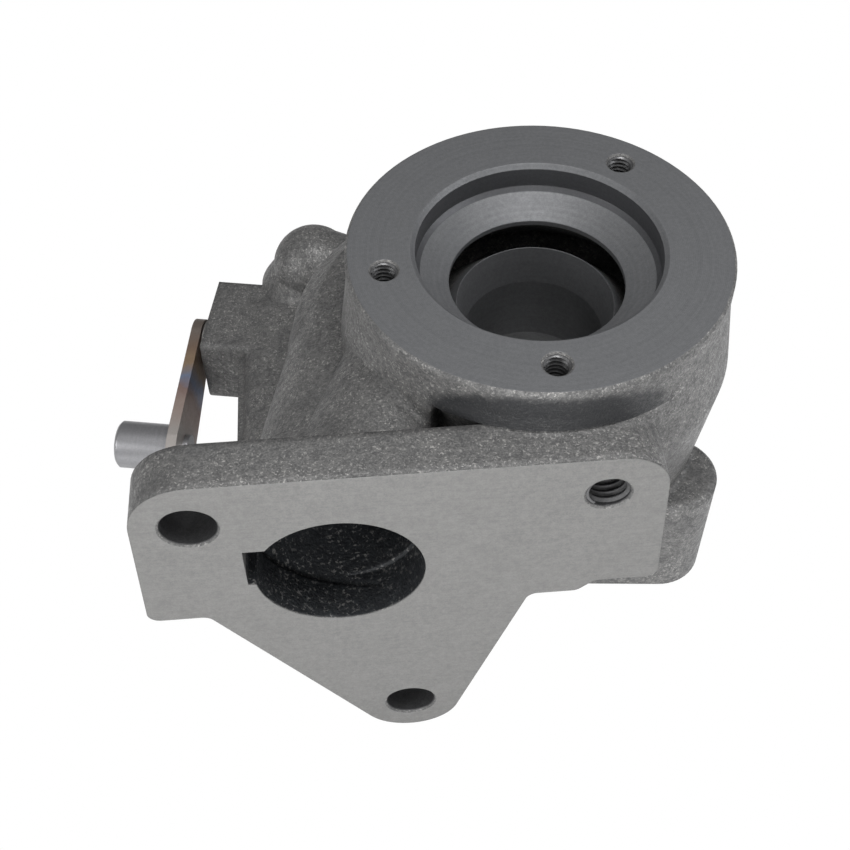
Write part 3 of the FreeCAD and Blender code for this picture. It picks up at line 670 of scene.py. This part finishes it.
    def _painted_recess_shade(self, graph: Graph, vector: Socket, place) -> Socket:
        """Mask of painted shade on the skin under the rim, behind the inlet plate."""
        away = graph.node("ShaderNodeVectorMath", {
            0: vector, 1: tuple(Vector(PAINTED_SHADE_PLACE_MM) * MM)}, operation="SUBTRACT").outputs[0]
        share = graph.node("ShaderNodeVectorMath", {
            0: away, 1: tuple(reach * MM for reach in PAINTED_SHADE_REACH_MM)},
            operation="DIVIDE").outputs[0]
        far = graph.node("ShaderNodeVectorMath", {0: share}, operation="LENGTH").outputs["Value"]
        stray = graph.math("MULTIPLY", graph.noise(vector, self.STRAY_MM), self.STRAY_SHARE)
        fade = graph.ramp(graph.math("ADD", far, stray), *self.PAINTED_SHADE_FADE)
        near = graph.math("SUBTRACT", PAINTED_SHADE_DARKNESS, fade, clamp=True)
        above = graph.math("GREATER_THAN", place[2], -(PLATE_TOP - FACE_SKIN) * MM)
        return graph.math("MULTIPLY", near, above)

    def _turned(self, graph: Graph, vector: Socket, place, facing) -> Socket:
        """Mask of the bearing face and of the bores on the turbine axis."""
        face = graph.math("MULTIPLY", graph.math("GREATER_THAN", place[2], -FACE_SKIN * MM),
                          graph.math("GREATER_THAN", facing[2], self.FLAT))
        bores = [self._zone(graph, vector, (0.0, 0.0, 0.0), self.STRAIGHT, radius * MM, depth * MM)
                 for radius, depth in ((BORE_RADIUS, BORE_DEPTH),
                                       (SHROUD_RADIUS, OUTLET_DEPTH + HOLE_END))]
        return graph.math("MAXIMUM", face, graph.math("MAXIMUM", *bores))

    def _shaded_bore(self, graph: Graph, vector: Socket) -> Socket:
        """Mask of the seat's wall and of the ledge at its foot, which get painted shade and painted
        dark reflections.
        """
        centre, reach = (0.0, 0.0, -SEAT_DEPTH * MM), (SEAT_DEPTH - SEAT_CHAMFER) * MM
        whole, cone = (self._zone(graph, vector, centre, self.STRAIGHT, radius * MM, reach)
                       for radius in (BORE_RADIUS, CONE_RADIUS))
        return graph.math("MULTIPLY", whole, graph.math("SUBTRACT", 1.0, cone))

    def _drilled(self, graph: Graph, vector: Socket) -> Socket:
        """Mask of the walls of every stud hole and tapped hole."""
        whole = 0.0
        for mount in hole_mounts(self.record):
            whole = graph.math("MAXIMUM", whole, self._zone(
                graph, vector, mount["pos_m"], mount["axis"],
                (mount["dims"]["r_mm"] + HOLE_SKIN) * MM,
                (mount["dims"]["length_mm"] / 2 + HOLE_END) * MM))
        return whole


@dataclass
class Thread:
    """Helical ridge on the wall of a tapped hole.

    Args:
        mount: the hole's mount in the record.
        pitch_mm: rise per turn.
        depth_mm: how far the ridge stands in from the wall.
        steps: divisions per turn.
    """

    mount: dict
    pitch_mm: float
    depth_mm: float
    steps: int = 40

    WALL_LAP = 0.02
    FOOT_SHARE = 0.48
    CREST_SHARE = 0.08

    def build(self, material: bpy.types.Material) -> bpy.types.Object:
        """Makes the ridge.

        Args:
            material: the ridge's material.

        Returns:
            The ridge, which rides the housing.
        """
        radius = self.mount["dims"]["r_mm"] + self.WALL_LAP
        length = self.mount["dims"]["length_mm"]
        turns = length / self.pitch_mm
        count = int(turns * self.steps)
        profile = ((0.0, -self.FOOT_SHARE), (self.depth_mm, -self.CREST_SHARE),
                   (self.depth_mm, self.CREST_SHARE), (0.0, self.FOOT_SHARE))
        axis = Vector(self.mount["axis"]).normalized()
        place = Matrix.Translation(Vector(self.mount["pos_m"])) @ Vector(
            (0, 0, 1)).rotation_difference(axis).to_matrix().to_4x4()
        mesh = bmesh.new()
        rows = []
        for step in range(count + 1):
            angle = math.tau * step / self.steps
            rise = self.pitch_mm * step / self.steps - length / 2
            row = []
            for depth, shift in profile:
                reach = (radius - depth) * MM
                high = min(max(rise + shift * self.pitch_mm, -length / 2), length / 2)
                point = Vector((reach * math.cos(angle), reach * math.sin(angle), high * MM))
                row.append(mesh.verts.new(place @ point))
            rows.append(row)
        for low, high in zip(rows, rows[1:]):
            for side in range(len(profile) - 1):
                mesh.faces.new((low[side], low[side + 1], high[side + 1], high[side]))
        data = bpy.data.meshes.new(self.mount["name"] + "_ridge")
        mesh.to_mesh(data)
        mesh.free()
        data.materials.append(material)
        made = bpy.data.objects.new(data.name, data)
        bpy.context.scene.collection.objects.link(made)
        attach(made, "housing")
        return made


@dataclass
class Threads:
    """Thread ridges of every tapped hole in the record.

    Args:
        record: the part's record.
        pitch_by_radius: pitch of the thread for each tap drill radius, in millimetres.
    """

    DEPTH_SHARE = 0.36

    record: dict
    pitch_by_radius: dict[float, float] = field(
        default_factory=lambda: {2.6: 1.0, 3.4: 1.25, 4.25: 1.5})

    def build(self, material: bpy.types.Material) -> list[bpy.types.Object]:
        """Makes the ridges.

        Args:
            material: their material.

        Returns:
            One object per hole.
        """
        made = []
        for mount in self.record["mounts"]:
            if mount["kind"] == "threaded_hole":
                pitch = self.pitch_by_radius[mount["dims"]["r_mm"]]
                made.append(Thread(mount, pitch, pitch * self.DEPTH_SHARE).build(material))
        return made


class Linkage:
    """Materials of the wastegate linkage.

    Args:
        maker: builder of the metal looks.
        record: the part's record, whose hinge and pin place the turned rings and the tint.
    """

    TINTS = ((0.0, (0.11, 0.085, 0.07)), (0.16, (0.13, 0.075, 0.045)), (0.32, (0.20, 0.13, 0.07)),
             (0.44, (0.10, 0.14, 0.23)), (0.56, (0.16, 0.095, 0.08)), (0.74, (0.25, 0.19, 0.165)),
             (1.0, (0.29, 0.27, 0.255)))
    TINT_SHARE = 0.72
    TINT_WANDER = 0.22
    TINT_PATCH = 4.0
    PIN_PITCH = 0.22
    BUSH_PITCH = 0.25

    def __init__(self, maker: MetalMaker, record: dict) -> None:
        self.maker = maker
        mounts = {m["name"]: m for m in record["mounts"]}
        self.pin = Vector(mounts["actuator_pin"]["pos_m"])
        joint = record["behaviour"]["joints"][0]
        self.shaft_axis = Vector(joint["axis"])
        self.shaft_place = Vector(joint["pos_m"])

    def dress(self, nodes: dict) -> None:
        """Gives every node of the linkage its material."""
        turned = self.maker.metal(TURNED_STEEL, self.shaft_axis, self.pin, self.PIN_PITCH)
        bush = self.maker.metal(BUSH_STEEL, self.shaft_axis, self.shaft_place, self.BUSH_PITCH)
        for name, material in (("lever_pin", turned), ("shaft_bushing", bush),
                               ("wastegate_shaft", self.maker.metal(FORGED_STEEL)),
                               ("wastegate_valve", self.maker.metal(VALVE_STEEL)),
                               ("valve_washer", turned), ("wastegate_lever", self._tinted())):
            paint(nodes[name], material)

    def _tinted(self) -> bpy.types.Material:
        """Lever steel with heat tint along its length."""
        material, graph, shader = self.maker.start("lever_heat_tint")
        vector = graph.node("ShaderNodeTexCoord").outputs["Object"]
        shift = self.pin - self.shaft_place
        along = shift - self.shaft_axis * shift.dot(self.shaft_axis)
        away = graph.node("ShaderNodeVectorMath", {0: vector, 1: tuple(self.shaft_place)},
                          operation="SUBTRACT").outputs[0]
        run = graph.node("ShaderNodeVectorMath", {0: away, 1: tuple(along / along.length_squared)},
                         operation="DOT_PRODUCT").outputs["Value"]
        patch = graph.noise(vector, self.TINT_PATCH)
        wander = graph.math("MULTIPLY", graph.math("SUBTRACT", patch, 0.5), self.TINT_WANDER)
        ramp = graph.node("ShaderNodeValToRGB", {0: graph.math("ADD", run, wander)})
        stops = ramp.color_ramp.elements
        while len(stops) < len(self.TINTS):
            stops.new(1.0)
        for stop, (place, colour) in zip(stops, self.TINTS):
            stop.position = place
            stop.color = rgba(colour)
        look = self.maker.look(graph, LEVER_STEEL, vector)
        colour = graph.blend(self.TINT_SHARE, look.colour, ramp.outputs[0])
        self.maker.finish_shader(graph, shader, Look(colour, look.rough, look.height),
                                 LEVER_STEEL.metallic, LEVER_STEEL.edge_mm * MM)
        return material


def paint(item: bpy.types.Object, material: bpy.types.Material) -> None:
    """Replaces every material of an object by one, with smooth shading.

    Args:
        item: the object.
        material: its new material.
    """
    item.data.materials.clear()
    item.data.materials.append(material)
    for face in item.data.polygons:
        face.use_smooth = True


@dataclass(frozen=True)
class Lamp:
    """Soft area light that points at the part.

    Args:
        name: object name.
        place_mm: position in the row frame.
        size_mm: side of the square.
        watts: power.
        tint: linear RGB.
    """

    name: str
    place_mm: tuple[float, float, float]
    size_mm: float
    watts: float
    tint: tuple[float, float, float] = (1.0, 1.0, 1.0)


class Studio:
    """Floor, background, lights and camera."""

    AIM_MM = (-25.0, 0.0, -40.0)
    LAMPS = (
        Lamp("key", (30.0, -60.0, 400.0), 220.0, 1.65),
        Lamp("front", (-40.0, -420.0, 0.0), 200.0, 1.6),
        Lamp("right", (360.0, -60.0, 160.0), 240.0, 0.8, (0.97, 0.98, 1.0)),
        Lamp("left", (-400.0, -160.0, 140.0), 240.0, 1.0),
    )
    FLOOR_SIZE = 4.0
    FLOOR_GAP = 0.1
    WORLD_GREY = 0.30

    def build(self) -> None:
        """Makes the whole stage."""
        self._floor()
        self._world()
        for lamp in self.LAMPS:
            self._lamp(lamp)
        self._camera()
        bpy.context.scene.view_settings.view_transform = "Standard"

    def _floor(self) -> None:
        """White floor under the lowest point of the part."""
        low = CAD_BOX[0][2] - self.FLOOR_GAP * MM
        half = self.FLOOR_SIZE / 2
        data = bpy.data.meshes.new("floor")
        data.from_pydata([(-half, -half, low), (half, -half, low), (half, half, low),
                          (-half, half, low)], [], [(0, 1, 2, 3)])
        data.materials.append(self._floor_material())
        floor = bpy.data.objects.new("floor", data)
        bpy.context.scene.collection.objects.link(floor)

    @staticmethod
    def _seen(graph: Graph) -> Socket:
        """One for rays that show the stage itself to the camera."""
        path = graph.node("ShaderNodeLightPath").outputs
        return graph.math("MAXIMUM", path["Is Camera Ray"], path["Is Transmission Ray"])

    def _floor_material(self) -> bpy.types.Material:
        """White paper, lit evenly where the camera sees it."""
        material = bpy.data.materials.new("floor_white")
        material.use_nodes = True
        graph = Graph(material.node_tree)
        material.node_tree.nodes.clear()
        paper = graph.node("ShaderNodeBsdfDiffuse", {"Color": (0.8, 0.8, 0.8, 1.0)})
        white = graph.node("ShaderNodeEmission", {"Color": (1.0, 1.0, 1.0, 1.0), "Strength": 1.0})
        both = graph.node("ShaderNodeMixShader", {0: self._seen(graph), 1: paper.outputs[0],
                                                  2: white.outputs[0]})
        graph.node("ShaderNodeOutputMaterial", {0: both.outputs[0]})
        return material

    def _world(self) -> None:
        """White seen by the camera, grey studio for light and reflections."""
        world = bpy.data.worlds.new("studio")
        world.use_nodes = True
        graph = Graph(world.node_tree)
        world.node_tree.nodes.clear()
        grey = graph.node("ShaderNodeBackground", {
            "Color": (self.WORLD_GREY, self.WORLD_GREY, self.WORLD_GREY, 1.0), "Strength": 1.0})
        white = graph.node("ShaderNodeBackground", {"Color": (1.0, 1.0, 1.0, 1.0),
                                                    "Strength": 1.0})
        both = graph.node("ShaderNodeMixShader", {0: self._seen(graph), 1: grey.outputs[0],
                                                  2: white.outputs[0]})
        graph.node("ShaderNodeOutputWorld", {0: both.outputs[0]})
        bpy.context.scene.world = world

    def _lamp(self, lamp: Lamp) -> None:
        """Adds one area light.

        Args:
            lamp: its place, size, power and tint.
        """
        data = bpy.data.lights.new(lamp.name, "AREA")
        data.energy = lamp.watts
        data.size = lamp.size_mm * MM
        data.color = lamp.tint
        made = bpy.data.objects.new(lamp.name, data)
        place = Vector(lamp.place_mm) * MM
        aim = Vector(self.AIM_MM) * MM - place
        made.location = place
        made.rotation_euler = aim.to_track_quat("-Z", "Y").to_euler()
        bpy.context.scene.collection.objects.link(made)

    @staticmethod
    def _camera() -> None:
        """Camera at the photograph's angle."""
        data = bpy.data.cameras.new("camera")
        data.sensor_width = SENSOR_MM
        data.sensor_fit = "HORIZONTAL"
        data.lens = FOCAL_PX * SENSOR_MM / IMAGE_PX
        data.clip_start = 0.01
        camera = bpy.data.objects.new("camera", data)
        right, down, ahead = Vector(CAMERA_RIGHT), Vector(CAMERA_DOWN), Vector(CAMERA_AHEAD)
        turn = Matrix((right, -down, -ahead)).transposed().to_4x4()
        camera.matrix_world = Matrix.Translation(Vector(CAMERA_PLACE_MM) * MM) @ turn
        bpy.context.scene.collection.objects.link(camera)
        bpy.context.scene.camera = camera


def main() -> None:
    """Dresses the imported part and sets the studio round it."""
    logging.basicConfig(level=logging.INFO, format="%(name)s: %(message)s")
    record, nodes = frame["record"], frame["nodes"]
    maker = MetalMaker(Effects())
    paint(nodes["turbine_housing"], CastingSurface(maker, record).build())
    ridges = Threads(record).build(maker.metal(THREAD_STEEL))
    Linkage(maker, record).dress(nodes)
    Studio().build()
    LOG.info("%d thread ridges", len(ridges))


if __name__ == "__main__":
    main()
